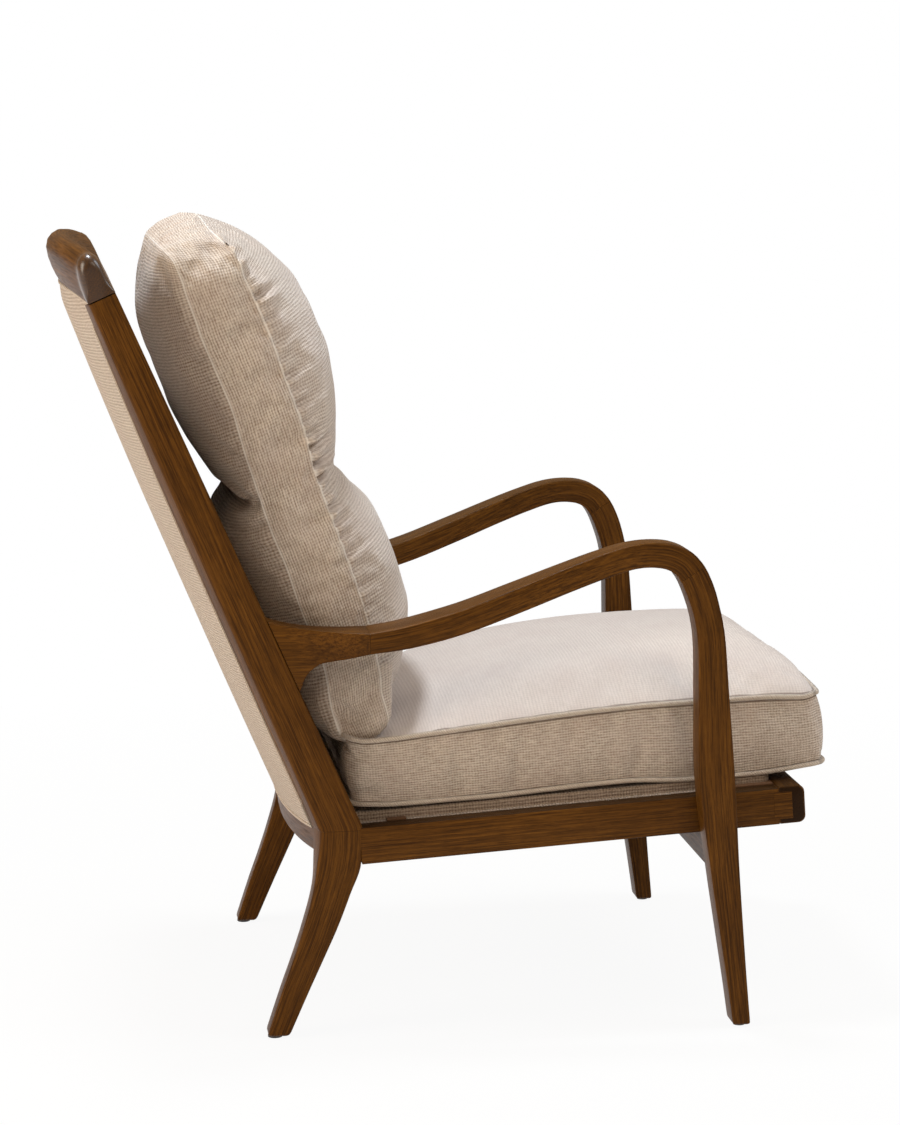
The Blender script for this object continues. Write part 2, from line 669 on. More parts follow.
def crest_front(x):
    """How far the top rail and the pad lie behind the plane of the joint."""
    return (CREST_BOW + FORWARD) * bow_share(x) - FORWARD


def top_rail():
    shoulder, cheek = 17 * MM, 9 * MM  # radii of the ends' upper corners, seen from behind and from above
    turn = np.linspace(0, math.pi / 2, 14)[1:]
    ends, lowered = RAIL_OUTER - shoulder * (1 - np.sin(turn)), shoulder * (1 - np.cos(turn))
    inner = np.linspace(-1, 1, 45) * (RAIL_OUTER - shoulder)
    xs = np.concatenate([-ends[::-1], inner, ends])
    lower = np.concatenate([lowered[::-1], np.zeros(len(inner)), lowered])
    outlines = []
    for x, less in zip(xs, lower):
        across, up = CREST_OUTLINE_SHARES.T
        across = across + (0.5 - across) * 2 * cheek / CREST_THICKNESS * less / shoulder * fade(up, 0, 0.4)
        behind = crest_front(x) + across * (1 - 0.14 * (1 - bow_share(x)) * up) * CREST_THICKNESS
        outlines.append(back_point(0, behind, crest_foot(x) + up * (CREST_HEIGHT - less))[:, 1:])
    piece = cross_bar("top_rail_wood", "top_rail", xs, outlines, sharp=55)
    out = np.abs(vertices(piece)[:, 0])
    store(piece, "stain", 0.5 * fade(out, RAIL_OUTER - 12 * MM, RAIL_OUTER - 2 * MM))
    store(piece, "gloss", fade(out, POST_INNER - 10 * MM, RAIL_OUTER - 8 * MM))


def rear_seat_rail():
    """The bowed rail that closes the back below its panel."""
    xs = np.linspace(-1, 1, 31) * (POST_INNER - GAP)
    drop, foot, bow = 40 * MM, 14 * MM, 26 * MM
    # Its outline, as shares of the drop
    across, up = np.array([
        [0, -GAP / drop], [0.12, -0.3], [0.27, -0.68], [0.25, -0.76], [0.18, -0.8],
        [-0.36, -1], [-0.42, -1], [-0.46, -0.93], [-0.83, -0.06],
    ]).T * drop
    outlines = [back_point(0, POST_DEPTH_FOOT + bow * bow_share(x) + across, foot + up)[:, 1:] for x in xs]
    cross_bar("rear_seat_rail_wood", "rear_seat_rail", xs, outlines)


FRONT_RAIL_REAR = FRONT_RAIL_DEPTH - SEAT_DEPTH
RAIL_TOP = RAIL_HEIGHT - 1.6 * MM  # upper face of a side rail, planed a little lower than the front rail


def above(places, height):
    """Which places stand higher than this in the sloping seat frame."""
    return ((places - [0, JOINT_Y, RAIL_FOOT]) @ SEAT_AXES[2] > height) * 1.0


def front_rail():
    """Rounded at the front, with the ends of the side rails' tongues let into its ends."""
    nose, proud, edge = 9 * MM, 5 * MM, 1.5 * MM
    outline = []
    for centre, start in ((RAIL_HEIGHT - nose, 0.25), (nose, 0.5)):
        for turn in np.linspace(start, start + 0.25, 7) * 2 * math.pi:
            y = nose - SEAT_DEPTH - proud + nose * math.cos(turn)
            outline.append((y, centre + nose * math.sin(turn)))
    outline += [(FRONT_RAIL_REAR - edge, 0), (FRONT_RAIL_REAR, edge)]
    outline += [(FRONT_RAIL_REAR, RAIL_HEIGHT - edge), (FRONT_RAIL_REAR - edge, RAIL_HEIGHT)]
    middle = np.array([FRONT_RAIL_REAR - SEAT_DEPTH, RAIL_HEIGHT]) / 2
    size = np.array([FRONT_RAIL_DEPTH, RAIL_HEIGHT])
    xs = [-RAIL_OUTER, -RAIL_OUTER + 0.6 * MM, -RAIL_OUTER + 2 * MM, 0]
    shrink = [2 * MM, 0.6 * MM, 0, 0]
    outlines = []
    for less in shrink + shrink[-2::-1]:
        scaled = middle + (outline - middle) * (1 - 2 * less / size)
        outlines.append(seat_point(0, *scaled.T)[:, 1:])
    piece = cross_bar("front_rail_wood", "front_rail", xs + [-x for x in xs[-2::-1]], outlines)
    co = vertices(piece)
    at_end = np.abs(co[:, 0]) > RAIL_OUTER - 0.1 * MM
    store(piece, "stain", np.maximum(0.85 * at_end, 0.6 * above(co, RAIL_TOP)))


def rails_and_stretcher():
    tongue_top, tongue_nose, lap, lift = 6.5 * MM, 11.5 * MM, 6 * MM, 0.25 * MM
    for side, hand in HANDS:
        low, high = sorted((side * RAIL_INNER, side * RAIL_OUTER))
        rail = straight_bar(
            "side_rail_wood_" + hand, "side_rail_" + hand, (low, FRONT_RAIL_REAR - 1 * MM, 0),
            (high, 1 * MM - FORWARD, RAIL_TOP), 1.5 * MM,
        )
        store(rail, "stain", 0.75 * above(vertices(rail), RAIL_TOP - 0.8 * MM))
        low, high = sorted((side * RAIL_INNER, side * (RAIL_OUTER + lift)))
        straight_bar(
            "tongue_wood_" + hand, "side_rail_" + hand, (low, tongue_nose - SEAT_DEPTH, tongue_top),
            (high, FRONT_RAIL_REAR + lap, RAIL_HEIGHT - tongue_top), 0.2 * MM,
        )
    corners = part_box("front_stretcher")
    straight_bar("front_stretcher_wood", "front_stretcher", *corners, 1.5 * MM, axis=0, sloping=False)


# Fabric


def grid_faces(rows, columns, start=0):
    corners = [start + i * columns + j for i in range(rows - 1) for j in range(columns - 1)]
    return [(a, a + 1, a + columns + 1, a + columns) for a in corners]


def grid_border(rows, columns):
    """Indices round the edge of a grid, in order."""
    n = rows * columns
    border = list(range(columns)) + [r * columns + columns - 1 for r in range(1, rows)]
    return border + [n - 2 - c for c in range(columns - 1)] + [r * columns for r in range(rows - 2, 0, -1)]


def border_of(grid):
    """The points round the edge of a grid, in order."""
    return grid.reshape((-1,) + grid.shape[2:])[grid_border(*grid.shape[:2])]


def box_weave(piece, foot, axes):
    """Weave by the side that each face looks to, in a leaning frame that starts at the joint."""
    mesh = piece.data
    index = fetch(mesh.loops, "vertex_index", 1, np.int32)
    local = (fetch(mesh.vertices, "co", 3)[index] - [0, JOINT_Y, foot]) @ axes.T
    sizes = fetch(mesh.polygons, "loop_total", 1, np.int32)
    normals = np.repeat(fetch(mesh.polygons, "normal", 3), sizes, axis=0)
    main = np.abs(normals @ axes.T).argmax(axis=1)
    others = np.array([[1, 2], [0, 2], [0, 1]])[main]
    weave = np.column_stack([np.take_along_axis(local, others, axis=1), np.zeros(len(local))])
    store(piece, "weave", weave, "CORNER")


PANEL_BOW, PANEL_THICKNESS, PANEL_FOOT = 26 * MM, 12 * MM, 14 * MM
PANEL_TUCK, PANEL_TUCK_HEIGHT = 7 * MM, 30 * MM
PAD_THICKNESS, PAD_PROUD = 11 * MM, 1.5 * MM


def slab(node, front, rear, rows, columns):
    """An upholstered slab between the posts: front and rear give the distance behind the joint's plane."""
    even = np.linspace(-1, 1, columns)
    xs = (0.7 * even + 0.3 * np.sin(even * math.pi / 2)) * (POST_INNER - GAP)
    x, share = np.meshgrid(xs, np.linspace(0, 1, rows))
    top = crest_foot(x) - GAP
    up = PANEL_FOOT + (top - PANEL_FOOT) * share
    verts = [back_point(x, surface(x, up, top), up).reshape(-1, 3) for surface in (rear, front)]
    n, border = rows * columns, grid_border(rows, columns)
    faces = grid_faces(rows, columns) + grid_faces(rows, columns, n)
    faces += [(a, b, b + n, a + n) for a, b in zip(border, border[1:] + border[:1])]
    piece = new_object(
        node + "_cover", np.concatenate(verts), faces, TWEED, "frame", node, sharp=50
    )
    box_weave(piece, KNEE, BACK_AXES)


def back_upholstery():
    """The rear panel, with a sewn border inside its edges, and the pad that faces the sitter."""
    border, groove, welt_inset = 10 * MM, 1.3 * MM, 2.4 * MM

    def from_edge(x, up, top):
        return np.minimum.reduce([POST_INNER - np.abs(x), up - PANEL_FOOT, top - up])

    def panel_rear(x, up):
        raked = smooth_read(POST_RAKE, up / BACK_LENGTH) - FORWARD
        return post_depth(up) + raked + PANEL_BOW * bow_share(x)

    def rear(x, up, top):
        tucked = PANEL_TUCK * np.clip((up - top + PANEL_TUCK_HEIGHT) / PANEL_TUCK_HEIGHT, 0, 1) ** 1.5
        edge = from_edge(x, up, top)
        crease = groove * bell(edge - border, 1.6 * MM)
        return panel_rear(x, up) - tucked - crease - 2.5 * MM * np.exp(-edge / (3 * MM))

    def rear_inside(x, up, top):
        return panel_rear(x, up) - PANEL_THICKNESS

    def pad_front(x, up, top):
        return crest_front(x) - PAD_PROUD + 3 * MM * np.exp(-from_edge(x, up, top) / (4 * MM))

    def pad_rear(x, up, top):
        return crest_front(x) - PAD_PROUD + PAD_THICKNESS

    slab("rear_panel", rear_inside, rear, 120, 90)
    slab("front_pad", pad_front, pad_rear, 60, 50)
    half, low = POST_INNER - GAP - welt_inset, PANEL_FOOT + welt_inset
    across = np.linspace(-half, half, 24)
    climb = np.linspace(low, crest_foot(half) - GAP - welt_inset, 24)[1:-1]
    x = np.concatenate([across, np.full(22, half), -across, np.full(22, -half)])
    up = np.concatenate([np.full(24, low), climb, crest_foot(across) - GAP - welt_inset, climb[::-1]])
    cord = back_point(x, rear(x, up, crest_foot(x) - GAP) + 0.5 * MM, up)
    tube("rear_panel_welt_cord", cord, 2 * MM, "frame", "rear_panel_welt")


def tube(name, path, radius, body, node):
    """A closed piped cord along a path. Its weave runs round it, on the bias."""
    along = unit(np.roll(path, -1, axis=0) - np.roll(path, 1, axis=0))
    out = unit(np.cross(path - path.mean(axis=0), along))
    across = np.cross(out, along)
    angles = np.linspace(0, 2 * math.pi, 10, endpoint=False)
    c, s = radius * np.cos(angles)[:, None], radius * np.sin(angles)[:, None]
    rings = path[:, None] + c * out[:, None] + s * across[:, None]
    piece = lofted(name, rings, PIPING, body, node, loop=True)
    weave = np.zeros(rings.shape)
    weave[:, :, 0] = angles * radius
    weave[:, :, 1] = run_along(path)[:, None] + angles * radius * 0.7
    store(piece, "weave", weave.reshape(-1, 3))


DECK_BASE = RAIL_HEIGHT + GAP + 2 * MM + GAP
DECK_THICKNESS = 6.7 * MM
# Rings of the platform from below: [inset in mm, or -1 for its thin flange, share of its height]
DECK_RINGS = [
    [-1, 0], [-1, 0.1], [0, 0.15], [0, 0.75], [1, 0.9], [3, 0.98], [7, 1], [40, 1], [120, 1], [220, 1],
]


def seat_deck():
    """The padded platform, a boxed pad that lies between the tops of the side rails."""
    front, rear = FRONT_RAIL_REAR + GAP, -0.8 * MM
    half, half_length = RAIL_OUTER - 38 * MM, (rear - front) / 2
    base = RAIL_HEIGHT - 4.5 * MM
    rings = []
    for inset, share in DECK_RINGS:
        inset *= RAIL_INNER - half - GAP if inset < 0 else MM
        nose, heel = max(14 * MM - inset, 4 * MM), max(5 * MM - inset, 2 * MM)
        outline = section(half - inset, half_length - max(inset, 0), (heel, heel, nose, nose), 8)
        up = base + (DECK_BASE + DECK_THICKNESS - base) * share
        rings.append(seat_point(outline[:, 0], (front + rear) / 2 + outline[:, 1], up))
    rings = np.array(rings)
    piece = lofted("seat_deck_cover", rings, PLATFORM, "frame", "seat_deck", sharp=60)
    box_weave(piece, RAIL_FOOT, SEAT_AXES)


def seat_straps():
    """Webbing under the platform, its ends let into the rails' inner faces."""
    half, thickness, middle_z = RAIL_INNER + 1 * MM, 1.4 * MM, RAIL_HEIGHT - 6 * MM
    xs = np.linspace(-half, half, 21)
    for number in range(1, 6):
        node = f"seat_strap_{number}"
        low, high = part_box(node)
        middle = ((low.y + high.y) / 2 - JOINT_Y - middle_z * math.sin(SEAT_SLOPE)) / math.cos(SEAT_SLOPE)
        outline = section((high.y - low.y) / 2, thickness / 2, (thickness / 2,) * 4)
        place = seat_point(0, middle + outline[:, 0], middle_z + outline[:, 1])[:, 1:]
        cross_bar(f"seat_strap_web_{number}", node, xs, [place] * len(xs), STRAP)


# Cushions


def refine(grid, times, loop=False):
    """Finer samples along the first axis of an array, on a smooth curve through its points."""
    n = len(grid)
    if loop:
        padded, spans = np.concatenate([grid[-1:], grid, grid[:2]]), n
    else:
        ends = 2 * grid[:1] - grid[1:2], 2 * grid[-1:] - grid[-2:-1]
        padded, spans = np.concatenate([ends[0], grid, ends[1]]), n - 1
    t = (np.arange(times) / times).reshape((1, times) + (1,) * (grid.ndim - 1))
    a, b, c, d = [padded[k : k + spans][:, None] for k in range(4)]
    fine = b + 0.5 * t * (c - a + t * (2 * a - 5 * b + 4 * c - d + t * (3 * b - a - 3 * c + d)))
    fine = fine.reshape((spans * times,) + grid.shape[1:])
    return fine if loop else np.concatenate([fine, grid[-1:]])


def ripple(x, y, seed):
    """Smooth noise from -1 to 1 over a plane, the same on each run."""
    table = np.random.default_rng(seed).uniform(-1, 1, (64, 64))
    x, y = np.broadcast_arrays(np.asarray(x, float), np.asarray(y, float))
    i, j = np.floor(x).astype(int), np.floor(y).astype(int)
    f, g = x - i, y - j
    f, g = f * f * (3 - 2 * f), g * g * (3 - 2 * g)
    low, high = [table[i % 64, k % 64] * (1 - f) + table[(i + 1) % 64, k % 64] * f for k in (j, j + 1)]
    return low * (1 - g) + high * g


def outward(loop, axis):
    """Outward direction at each point of a closed border, square to an axis."""
    out = unit(np.cross(np.roll(loop, -1, axis=0) - np.roll(loop, 1, axis=0), axis))
    return -out if np.einsum("ij,ij->i", out, loop - loop.mean(axis=0)).sum() < 0 else out


def lengths(grid, axis):
    """Length up to each point along the rows or the columns of a grid."""
    steps = np.linalg.norm(np.diff(grid, axis=axis), axis=2)
    start = np.zeros_like(np.take(steps, [0], axis=axis))
    return np.concatenate([start, np.cumsum(steps, axis=axis)], axis=axis)


def to_nearer_end(grid, axis):
    """Length from each point to the nearer end of its row or column."""
    return np.minimum(lengths(grid, axis), np.flip(lengths(np.flip(grid, axis), axis), axis))


# On the bands the ribs stand closer together, and their cross lines are fainter
BAND_RIBS, BAND_CROSS = 1.3, 0.4


FILL_FRAMES = 20
LAYERS = 12  # rows of points across a band


class BoxCushion:
    """Two crowned panels sewn to a band that runs round them, each kept as a grid of points."""

    def __init__(self, first, second, out, bulge):
        """out gives the band's outward direction at each border point, and bulge how far it swells."""
        self.first, self.second = first, second
        a, b = border_of(first), border_of(second)
        share = np.linspace(0, 1, LAYERS)[:, None, None]
        self.band = a + (b - a) * share + 4 * share * (1 - share) * bulge[None, :, None] * out[None]

    def parts(self):
        """All vertices, the faces of the two panels and of the band, and the rows of the band's vertices."""
        rows, columns = self.first.shape[:2]
        n = rows * columns
        verts = [self.first.reshape(-1, 3), self.second.reshape(-1, 3), self.band[1:-1].reshape(-1, 3)]
        border = np.array(grid_border(rows, columns))
        layers, around = self.band.shape[:2]
        ids = [border] + [2 * n + k * around + np.arange(around) for k in range(layers - 2)] + [border + n]
        panels = grid_faces(rows, columns) + grid_faces(rows, columns, n)
        band = []
        for a, b in zip(ids, ids[1:]):
            band += np.column_stack([a, np.roll(a, -1), np.roll(b, -1), b]).tolist()
        return np.concatenate(verts), panels, band, ids

    def fill(self, cap, band_cap, pressure, slack, bending, stiffness=20):
        """Fills the cover by cloth simulation, sewn fast along its seams. The caps limit how far it moves."""
        verts, panels, band, ids = self.parts()
        cover = link("fill", new_mesh("fill", verts, panels + band))
        group = cover.vertex_groups.new(name="sewn")
        group.add(np.concatenate([ids[0], ids[-1]]).tolist(), 1.0, "REPLACE")
        cloth = cover.modifiers.new("fill", "CLOTH")
        settings = cloth.settings
        settings.quality, settings.mass = 6, 0.3
        settings.tension_stiffness = settings.compression_stiffness = stiffness
        settings.shear_stiffness, settings.bending_stiffness = stiffness / 3, bending
        settings.use_pressure, settings.uniform_pressure_force = True, pressure
        settings.shrink_min = -slack
        settings.vertex_group_mass = group.name
        settings.effector_weights.gravity = 0
        cloth.point_cache.frame_start, cloth.point_cache.frame_end = 1, FILL_FRAMES
        scene = bpy.context.scene
        for number in range(FILL_FRAMES):
            scene.frame_set(number + 1)
        shape = cover.evaluated_get(bpy.context.evaluated_depsgraph_get()).data
        move = fetch(shape.vertices, "co", 3) - verts
        scene.frame_set(1)
        mesh = cover.data
        bpy.data.objects.remove(cover)
        bpy.data.meshes.remove(mesh)
        size = np.linalg.norm(move, axis=1, keepdims=True)
        shape = self.first.shape
        n = shape[0] * shape[1]
        most = np.full((len(verts), 1), cap)
        most[2 * n :] = band_cap
        verts = verts + move * most * np.tanh(size / most) / np.maximum(size, 1e-9)
        self.first, self.second = verts[:n].reshape(shape), verts[n : 2 * n].reshape(shape)
        inside = verts[2 * n :].reshape(-1, self.band.shape[1], 3)
        self.band = np.concatenate([border_of(self.first)[None], inside, border_of(self.second)[None]])

    def refine(self, times):
        self.first, self.second, self.band = [
            refine(refine(grid, times).swapaxes(0, 1), times, loop).swapaxes(0, 1)
            for grid, loop in ((self.first, False), (self.second, False), (self.band, True))
        ]
        self.band[0], self.band[-1] = border_of(self.first), border_of(self.second)

    def finish(self, node, material, relief, washed):
        """Makes the piece. relief gives the shift along the normal of the panels and the band.

        washed is how far the ribs of the first panel are lost in the light, from 0 to 1.
        """
        verts, panels, band, ids = self.parts()
        piece = new_object(node + "_cover", verts, panels + band, material, node, node)
        mesh = piece.data
        rows, columns = self.first.shape[:2]
        n = rows * columns

        panel_place, panel_seam = [], []
        for grid in (self.first, self.second):
            across = lengths(grid, 0)[:, columns // 4]
            along = lengths(grid, 1)[rows // 2]
            panel_place.append(np.stack(np.broadcast_arrays(along[None, :], across[:, None]), -1))
            panel_seam.append(np.minimum(to_nearer_end(grid, 1), to_nearer_end(grid, 0)))
        run = lengths(self.band[:1], 1)[0]
        total = run[-1] + np.linalg.norm(self.band[0, 0] - self.band[0, -1])
        width = lengths(self.band, 0)
        width = width * np.median(width[-1]) / width[-1]
        band_place = np.stack(np.broadcast_arrays(run[None, :], width), -1)
        band_seam = np.minimum(width, width[-1] - width)

        def joined(first, second, whole_band):
            return np.concatenate([first.ravel(), second.ravel(), whole_band[1:-1].ravel()])

        shift = joined(*relief(self, panel_place, band_place, panel_seam, band_seam))
        moved = verts + fetch(mesh.vertices, "normal", 3) * shift[:, None]
        mesh.vertices.foreach_set("co", moved.ravel())
        store(piece, "seam", joined(*panel_seam, band_seam))

        on_panel, on_band = np.zeros((len(verts), 3)), np.zeros((len(verts), 3))
        on_panel[: 2 * n, :2] = np.concatenate(panel_place).reshape(-1, 2)
        on_panel[:n, 2] = washed
        for row, place in zip(ids, band_place):
            on_band[row, :2] = place * [1, BAND_RIBS]
            on_band[row, 2] = -BAND_CROSS
        index = fetch(mesh.loops, "vertex_index", 1, np.int32)
        weave = on_panel[index]
        start = len(panels) * 4
        weave[start:] = on_band[index[start:]]
        closing = np.tile(np.arange(len(ids[0])) == len(ids[0]) - 1, len(ids) - 1).repeat(4)
        first = np.isin(index[start:], [row[0] for row in ids])
        weave[start:][closing & first, 0] += total
        store(piece, "weave", weave, "CORNER")
        mesh.update()


def rounded_grid(half_width, half_length, radii, columns, rows):
    """A grid of points over a rectangle with its corners rounded, at low y and at high y."""
    x, y = np.meshgrid(np.linspace(-1, 1, columns) * half_width, np.linspace(-1, 1, rows) * half_length)
    radius = np.where(y < 0, *radii)
    a = np.clip((np.abs(x) - (half_width - radius)) / radius, 0, 1)
    b = np.clip((np.abs(y) - (half_length - radius)) / radius, 0, 1)
    both = (a > 0) & (b > 0)
    new_x = np.sign(x) * (half_width - radius + radius * a * np.sqrt(1 - b**2 / 2))
    new_y = np.sign(y) * (half_length - radius + radius * b * np.sqrt(1 - a**2 / 2))
    return np.where(both, new_x, x), np.where(both, new_y, y)


# Seat cushion: [place from front to rear, share of the crown], places from -1 to 1
SEAT_CROWN_SHARES = [
    [-1, 0], [-0.965, 0.42], [-0.93, 0.57], [-0.88, 0.69], [-0.8, 0.78], [-0.65, 0.81], [-0.5, 0.82],
    [-0.3, 0.825], [-0.1, 0.82], [0.05, 0.8], [0.23, 0.74], [0.4, 0.62], [0.5, 0.52], [0.6, 0.4],
    [0.7, 0.25], [0.8, 0.04], [0.9, -0.04], [1, 0],
]
SEAT_FRONT, SEAT_REAR = -SEAT_DEPTH - 38.5 * MM, 4 * MM
SEAT_HALF_WIDTH = RAIL_OUTER - 39 * MM
SEAT_MIDDLE, SEAT_HALF_LENGTH = (SEAT_FRONT + SEAT_REAR) / 2, (SEAT_REAR - SEAT_FRONT) / 2
SEAT_BASE = DECK_BASE + DECK_THICKNESS + GAP
SEAT_CROWN, SEAT_CORNER, SEAT_REAR_CORNER = 60 * MM, 19 * MM, 17 * MM
# The cover is drawn in by these, along its sides and at its front corners
SEAT_PULL, CORNER_PULL = 3 * MM, 3 * MM
# The front of the upper seam is raised, all along and again at one place, given in half widths
FRONT_LIFT, FRONT_HUMP, HUMP_PLACE, HUMP_WIDTH = 4.5 * MM, 6 * MM, -0.65, 0.35
# The lower seam lies this much farther forward, at its rear and at its front
REAR_UNDER, FRONT_UNDER = 4 * MM, 3.5 * MM
BAND_SWELL, FRONT_SWELL = 2 * MM, 3 * MM
# Height of the upper seam, in mm: [share of the length from front to rear, above the seat frame's foot]
SEAT_SEAM = [
    [0, 151], [0.13, 156.2], [0.25, 158.6], [0.37, 159.6], [0.53, 157], [0.69, 152.5], [0.82, 149.5],
    [0.91, 146.6], [0.955, 146.6], [0.98, 150], [1, 154],
]
# How far the lower seam lies above the platform, in mm: [the same share, height]
SEAT_FOOT = [
    [0, 6.5], [0.03, 5.5], [0.18, 0], [0.28, 0], [0.42, 6], [0.55, 5.5], [0.75, 3.5], [0.91, 5],
    [0.965, 8], [1, 10],
]
PIPING_RADIUS = 3.3 * MM


def seat_relief(cushion, panel_place, band_place, panel_seam, band_seam):
    """Shallow dents on the panels, and creases where the band is pressed against the posts."""
    shifts = []
    for place, seam, seed in zip(panel_place, panel_seam, (11, 12)):
        dents = ripple(place[..., 0] / 0.09, place[..., 1] / 0.09, seed) * fade(seam, 0, 0.06) * 1.2 * MM
        pucker = ripple(place.sum(axis=-1) / 0.016, 0, seed + 2)
        shifts.append(dents + pucker * np.exp(-seam / 0.012) * 0.5 * MM)
    y, z = cushion.band[..., 1], cushion.band[..., 2]
    creases = ripple(y / 0.05 + 3, z / 0.016 + y * 12, 15) * fade(y, JOINT_Y - 40 * MM, JOINT_Y - 8 * MM)
    soft = ripple(band_place[..., 0] / 0.07, band_place[..., 1] / 0.05, 16)
    return shifts + [(soft * 0.9 * MM + creases * 4 * MM) * fade(band_seam, 0, 0.02)]


def seat_cushion():
    corners = SEAT_CORNER, SEAT_REAR_CORNER
    x, y = rounded_grid(SEAT_HALF_WIDTH, SEAT_HALF_LENGTH, corners, 52, 58)
    u, v = x / SEAT_HALF_WIDTH, y / SEAT_HALF_LENGTH
    rear, front = np.clip(v, 0, 1), np.clip(-v, 0, 1)
    x = x - SEAT_PULL * u * (1 - v**2) - CORNER_PULL * u**9 * front**14
    top_y = SEAT_MIDDLE + y - SEAT_PULL * v * (1 - u**2)
    length_share = (top_y - SEAT_FRONT) / (SEAT_REAR - SEAT_FRONT)
    rise = smooth_read(SEAT_CROWN_SHARES, v) * (1 - np.minimum(1, np.abs(u)) ** 3) ** 0.65
    lifted = (FRONT_LIFT + FRONT_HUMP * bell(u - HUMP_PLACE, HUMP_WIDTH)) * front**6 * (1 - u**8)
    top = seat_point(x, top_y, smooth_read(SEAT_SEAM, length_share) * MM + SEAT_CROWN * rise + lifted)
    foot_y = top_y - REAR_UNDER * rear**4 - FRONT_UNDER * front**6
    near_edge = fade(np.maximum(np.abs(u), np.abs(v)), 0.86, 1)
    foot_z = SEAT_BASE + near_edge * smooth_read(SEAT_FOOT, length_share) * MM
    bulge = BAND_SWELL + FRONT_SWELL * border_of(front) ** 6
    out = outward(border_of(top), SEAT_AXES[2])
    cushion = BoxCushion(top, seat_point(x, foot_y, foot_z), out, bulge)
    cushion.fill(9 * MM, 4 * MM, pressure=1.6, slack=0.01, bending=1.0)
    rests_at = seat_point(0, (cushion.second[..., 1] - JOINT_Y) / math.cos(SEAT_SLOPE), SEAT_BASE)[..., 2]
    cushion.second[..., 2] = np.maximum(cushion.second[..., 2], rests_at)
    cushion.band[-1] = border_of(cushion.second)
    cushion.refine(2)
    cushion.finish("seat_cushion", PIPED, seat_relief, 0.75)
    seams = ("top", cushion.band[0], 0.0, 21), ("foot", cushion.band[-1], 1.5 * MM, 22)
    for name, path, lift, seed in seams:
        run = run_along(path)
        wave = ripple(run / 0.06, 0, seed) * np.minimum(1, np.minimum(run, run[-1] - run) / 0.05) * 0.8 * MM
        path = path + outward(path, np.array([0, 0, 1.0])) * (PIPING_RADIUS * 0.6 + wave[:, None] * 0.5)
        path[:, 2] += lift + wave
        tube(
            "seat_cushion_piping_cord_" + name, path, PIPING_RADIUS, "seat_cushion",
            "seat_cushion_piping_" + name,
        )


# Back cushion, in mm: [up the back, rear face, rear seam, front seam, front face, share of the half width],
# measured forward from the posts
BACK_CUSHION_SHAPE = [
    [88, 27, 33, 84, 86, 0.962], [94, 14, 28, 88, 96, 0.975], [107, 5, 26, 91, 107, 0.983],
    [130, -1, 28, 94, 122, 0.988], [150, -4, 32, 101, 139, 0.995], [175, -5, 39, 107, 161, 1],
    [205, -6, 44, 113, 179, 1], [250, -7, 45, 119.5, 185, 1], [290, -7, 48, 123.5, 186, 1],
    [320, -7, 51.5, 125.5, 183, 0.998], [345, -6, 52.5, 127.5, 174, 0.995], [365, -4, 53, 128.5, 168, 0.99],
    [381, 1, 54, 129.5, 160, 0.987], [393, 8, 55, 130.5, 156, 0.985], [404, 23, 56, 131.5, 162, 0.984],
    [412, 46, 57, 132, 167, 0.983], [422, 38, 58, 133, 173, 0.984], [440, 27, 60, 136.5, 182, 0.988],
    [470, 19, 63, 142, 197, 0.993], [500, 13, 67.5, 144.5, 208, 0.998], [540, 12, 72.3, 147, 215, 1],
    [590, 14, 73.3, 151.5, 218, 1], [620, 16, 74, 152.4, 214, 1], [655, 20, 77, 152.7, 208, 0.998],
    [685, 29, 79, 152, 194, 0.992], [710, 42, 81.5, 150, 176, 0.985], [730, 56, 82, 146, 159, 0.975],
    [741, 63, 82, 142, 150, 0.962], [750, 72, 80, 138, 140, 0.93],
]
BACK_HALF_WIDTH = POST_INNER - 13 * MM
FRONT_ARCH, REAR_ARCH = 26 * MM, 10 * MM
FRONT_CORNER = 14 * MM  # the upper front corners stand this far forward
CORNER_DROP = 9 * MM  # and the upper corners are rounded off by this
SHOULDER, ARCH_START = 0.68, 0.58  # heights up the back from which the corners change, and the top arches
BOXY_TOP, BOXY_FOOT = 0.21, 0.12  # it is boxier below the first of these heights, most below the second
FRONT_PINCH, REAR_PINCH = 381 * MM, 412 * MM
# Gathers on the front panel, square to its side seams, in mm: [up the back, depth, half width, reach]
FRONT_PUCKERS = [
    [714, 1, 6, 14], [697, 5, 5, 22], [672, 2.5, 4, 14], [644, 6, 5.5, 27], [614, 3, 4, 16],
    [584, 3.5, 6, 18], [562, 2.5, 4, 14], [540, 4.5, 5, 20], [521, 2.5, 4, 14], [502, 4.5, 5, 22],
    [480, 3.5, 4, 18], [462, 4.5, 4.5, 24], [446, 6.5, 5, 32], [424, 7.5, 5, 36], [407, 6.5, 5, 34],
    [368, 6, 5, 30], [349, 4.5, 4.5, 24], [330, 3.5, 4, 18], [308, 4.5, 5, 24], [285, 3, 4, 16],
    [262, 3.5, 5, 20], [236, 3, 4, 16], [205, 3, 5, 16], [170, 3, 5, 16],
]
PUCKER_DEPTH, PUCKER_REACH = 1.9, 1.3
# Soft dents in the band, in mm: [up the back, share of its width, depth, half height]
BAND_DENTS = [
    [720, 0.1, 5, 13], [640, 0.3, 4, 14], [607, 0.2, 4, 13], [548, 0.22, 3.5, 13], [462, 0.25, 4, 14],
    [436, 0.6, 3, 10], [360, 0.3, 3, 12], [300, 0.55, 2.5, 14], [230, 0.3, 3, 14], [122, 0.92, 13, 18],
]


def puckers(along, seed):
    """Small gathers along a seam, in groups."""
    groups = fade(ripple(along / 0.05, 1, seed + 1), -0.5, 0.5)
    return (np.abs(ripple(along / 0.011, 1, seed)) * 2 - 1) * (0.3 + 0.7 * groups)


